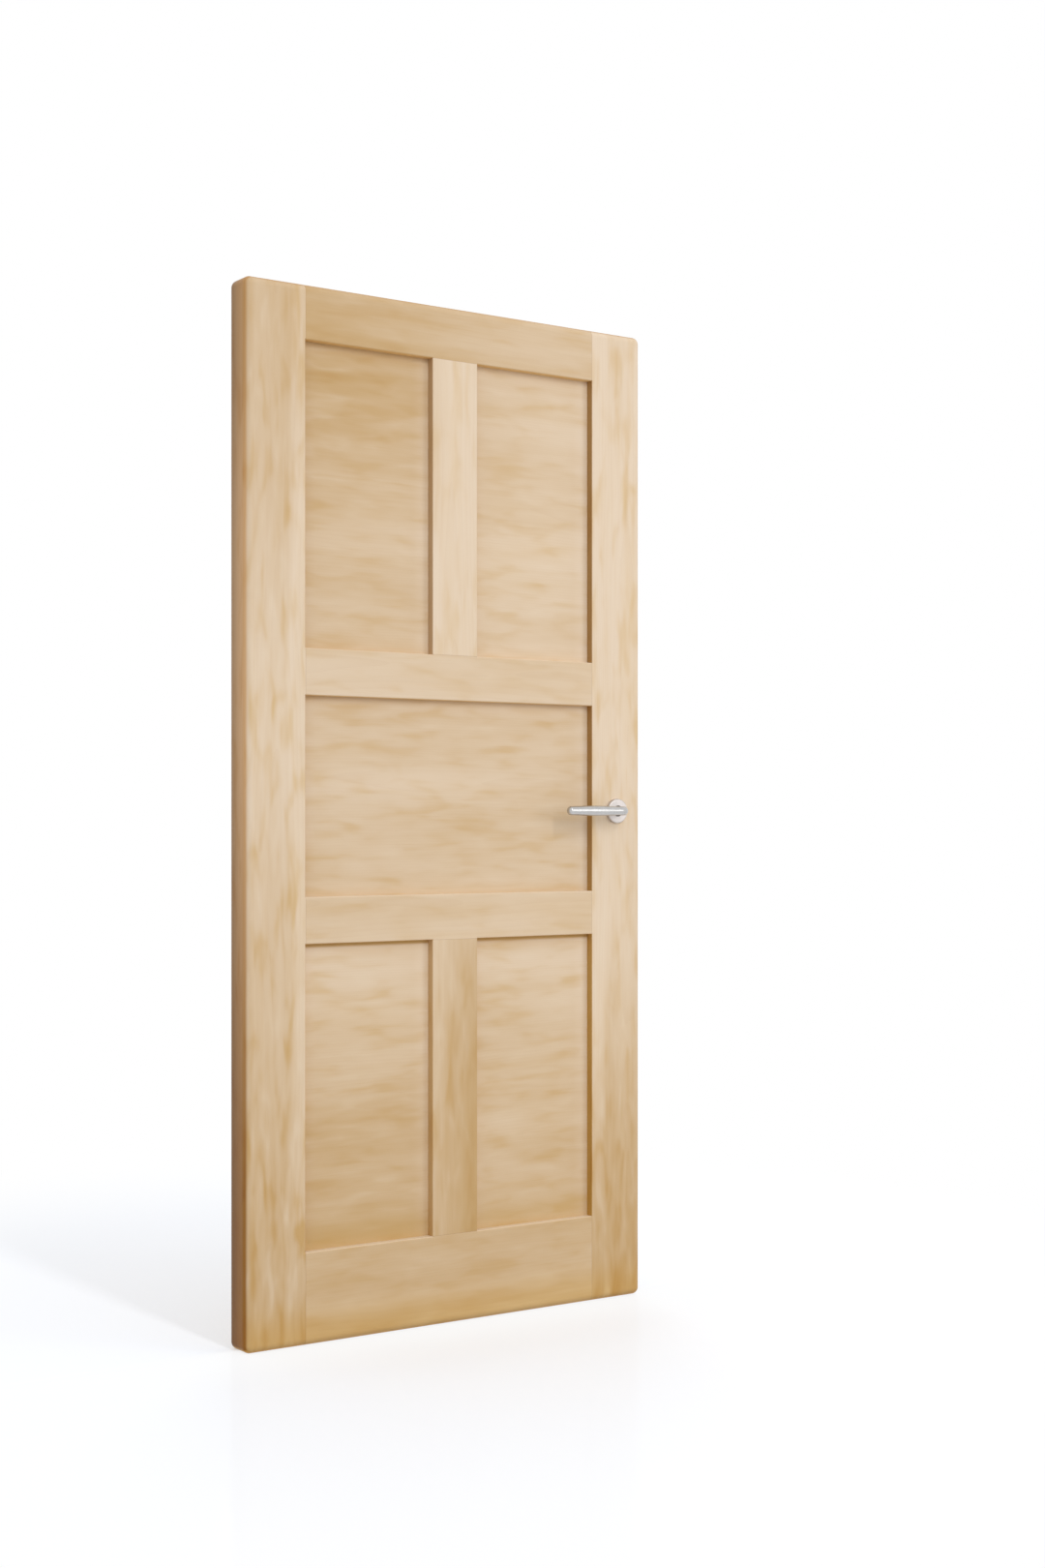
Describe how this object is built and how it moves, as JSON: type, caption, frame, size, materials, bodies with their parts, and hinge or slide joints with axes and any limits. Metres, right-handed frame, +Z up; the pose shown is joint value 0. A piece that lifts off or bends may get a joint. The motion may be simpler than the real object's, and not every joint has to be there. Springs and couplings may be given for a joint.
{
  "type": "interior door leaf",
  "caption": "Flat-panelled softwood interior door leaf with rounded edges, sprung lever handles on round roses and a tubular latch.",
  "frame": {"origin": "middle of the leaf's bottom edge, where it rests", "axes": "+X from the hinge edge to the lock edge, +Y from the front face to the back face, +Z up"},
  "size_m": [0.9235, 0.1688, 1.981],
  "materials": {
    "frame_pine": "clear satin lacquer",
    "panel_pine": "clear satin lacquer",
    "beech_dowel": "bare",
    "satin_metal": "satin",
    "plated_steel": "zinc plated",
    "spring_steel": "drawn wire",
    "screw_steel": "bright",
    "bolt_metal": "satin nickel plated",
    "bush_plastic": "moulded"
  },
  "bodies": {
    "leaf": {"back_neck_bush": "bush_plastic", "back_return_spring": "spring_steel", "back_rose_base": "plated_steel", "back_rose_cover": "satin_metal", "bottom_rail": "frame_pine", "bottom_rail_dowels": "beech_dowel", "fixing_bolts": "screw_steel", "forend_cover": "satin_metal", "forend_screws": "screw_steel", "front_neck_bush": "bush_plastic", "front_return_spring": "spring_steel", "front_rose_base": "plated_steel", "front_rose_cover": "satin_metal", "hinge_stile": "frame_pine", "latch_case": "plated_steel", "latch_forend": "plated_steel", "lock_stile": "frame_pine", "lower_left_panel": "panel_pine", "lower_mid_rail": "frame_pine", "lower_mid_rail_dowels": "beech_dowel", "lower_muntin": "frame_pine", "lower_muntin_dowels": "beech_dowel", "lower_right_panel": "panel_pine", "middle_panel": "panel_pine", "top_rail": "frame_pine", "top_rail_dowels": "beech_dowel", "upper_left_panel": "panel_pine", "upper_mid_rail": "frame_pine", "upper_mid_rail_dowels": "beech_dowel", "upper_muntin": "frame_pine", "upper_muntin_dowels": "beech_dowel", "upper_right_panel": "panel_pine"},
    "levers": {"front_lever": "satin_metal", "back_lever": "satin_metal", "spindle": "plated_steel", "latch_follower": "plated_steel", "grub_screws": "screw_steel", "front_circlip": "spring_steel", "back_circlip": "spring_steel", "front_driver_washer": "plated_steel", "back_driver_washer": "plated_steel"},
    "latch": {"latch_bolt": "bolt_metal", "latch_yoke": "plated_steel", "bolt_spring": "spring_steel"}
  },
  "joints": [
    {"name": "lever_turn", "type": "hinge", "parent": "leaf", "child": "levers", "pos_m": [0.392, 0, 1], "axis": [0, -1, 0], "range_deg": [0, 60], "stiffness_Nm_per_rad": 0.9, "springref_deg": -40.11, "deforming": ["front_return_spring", "back_return_spring"]},
    {"name": "latch_slide", "type": "slide", "parent": "leaf", "child": "latch", "axis": [-1, 0, 0], "range_m": [0, 0.0095], "stiffness_N_per_m": 150, "springref_m": -0.01, "deforming": ["bolt_spring"]}
  ],
  "couplings": [
    {"joint": "latch_slide", "follows": "lever_turn", "m_per_rad": 0.0090718}
  ]
}
